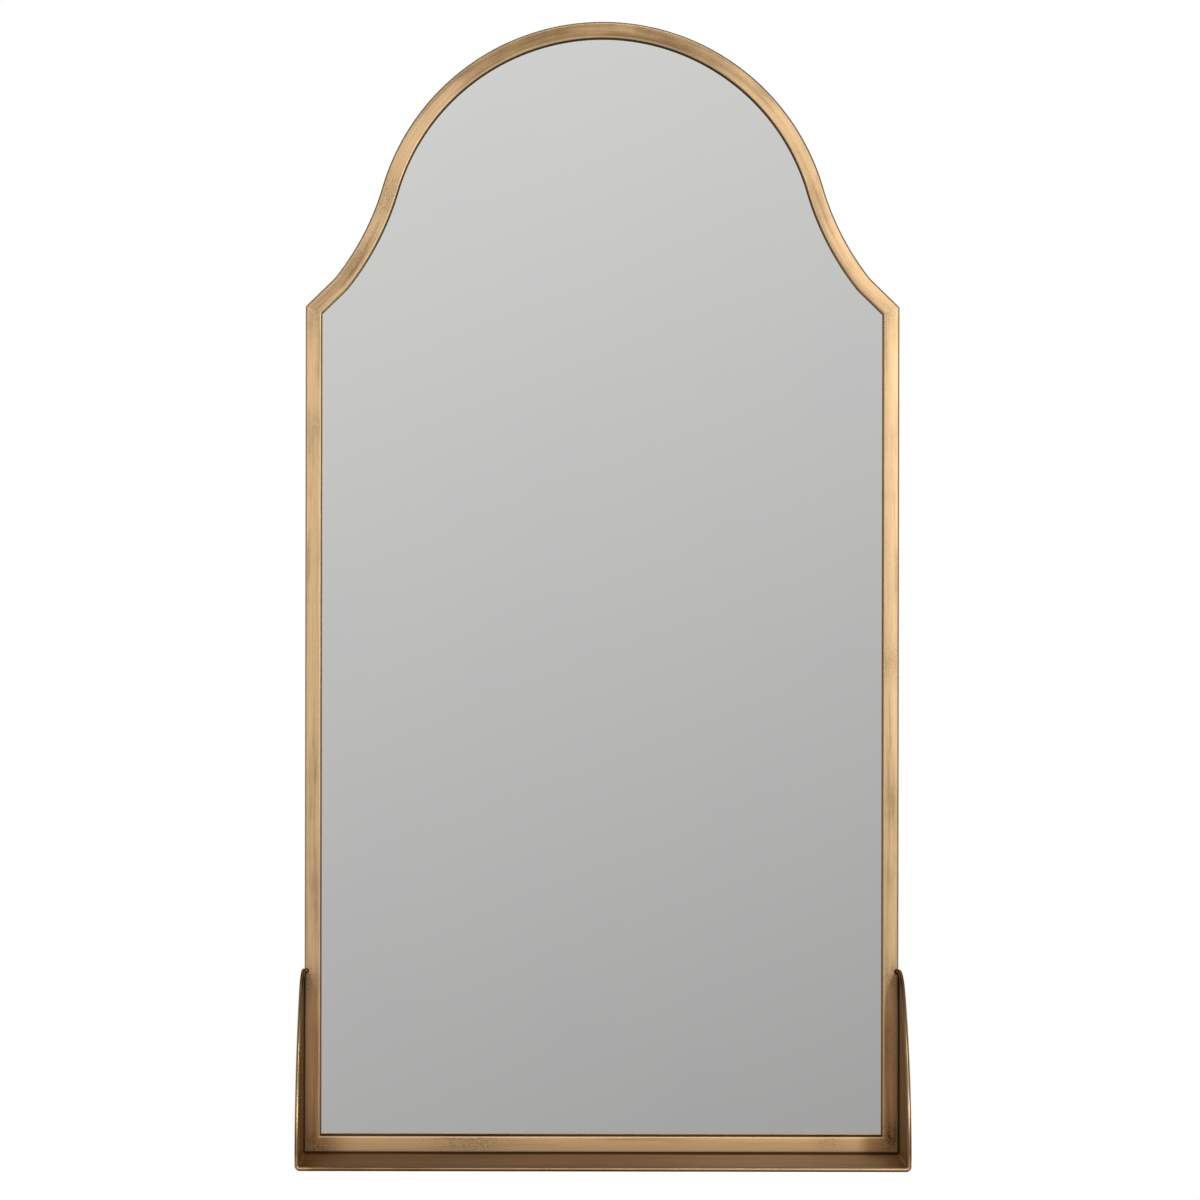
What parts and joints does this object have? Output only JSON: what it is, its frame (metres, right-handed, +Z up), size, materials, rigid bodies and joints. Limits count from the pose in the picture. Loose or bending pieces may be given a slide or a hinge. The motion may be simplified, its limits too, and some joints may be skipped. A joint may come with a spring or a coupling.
{
  "type": "wall mirror with shelf",
  "caption": "Arched wall mirror in a narrow folded metal frame with a tray shelf below, curved shelf sides and a round rod rim; hangs from swinging rings on the back.",
  "frame": {"origin": "on the wall plane, midway between the two hooks that carry the mirror by its rings", "axes": "+Z up, +Y into the wall (the mirror faces -Y), +X to the viewer's right"},
  "size_m": [0.5652, 0.127, 1.0686],
  "materials": {
    "antique_brass": "brushed, darkened antique brass",
    "silvered_glass": "polished mirror glass",
    "white_foam": "soft foam sheet",
    "fibre_board": "raw hardboard",
    "zinc_steel": "zinc plated",
    "black_rubber": "moulded"
  },
  "bodies": {
    "mirror": {"backing_board": "fibre_board", "foam_sheet": "white_foam", "frame_arch": "antique_brass", "frame_bottom_rail": "antique_brass", "frame_stile_left": "antique_brass", "frame_stile_right": "antique_brass", "hanger_lug_left": "zinc_steel", "hanger_lug_right": "zinc_steel", "hanger_screws_left": "zinc_steel", "hanger_screws_right": "zinc_steel", "hanger_strap_left": "zinc_steel", "hanger_strap_right": "zinc_steel", "mirror_glass": "silvered_glass", "retaining_tabs": "antique_brass", "rim_tip_weld_left": "antique_brass", "rim_tip_weld_right": "antique_brass", "setting_pads": "black_rubber", "shelf_rim_rod": "antique_brass", "shelf_tray": "antique_brass", "tray_tack_welds": "antique_brass", "wall_bumper_left": "black_rubber", "wall_bumper_right": "black_rubber"},
    "ring_left": {"hanger_ring_left": "zinc_steel"},
    "ring_right": {"hanger_ring_right": "zinc_steel"}
  },
  "joints": [
    {"name": "ring_swing_left", "type": "hinge", "parent": "mirror", "child": "ring_left", "pos_m": [-0.2585, -0.00352, -0.0176], "axis": [1, 0, 0], "range_deg": [0, 176]},
    {"name": "ring_swing_right", "type": "hinge", "parent": "mirror", "child": "ring_right", "pos_m": [0.2585, -0.00352, -0.0176], "axis": [1, 0, 0], "range_deg": [0, 176]}
  ]
}
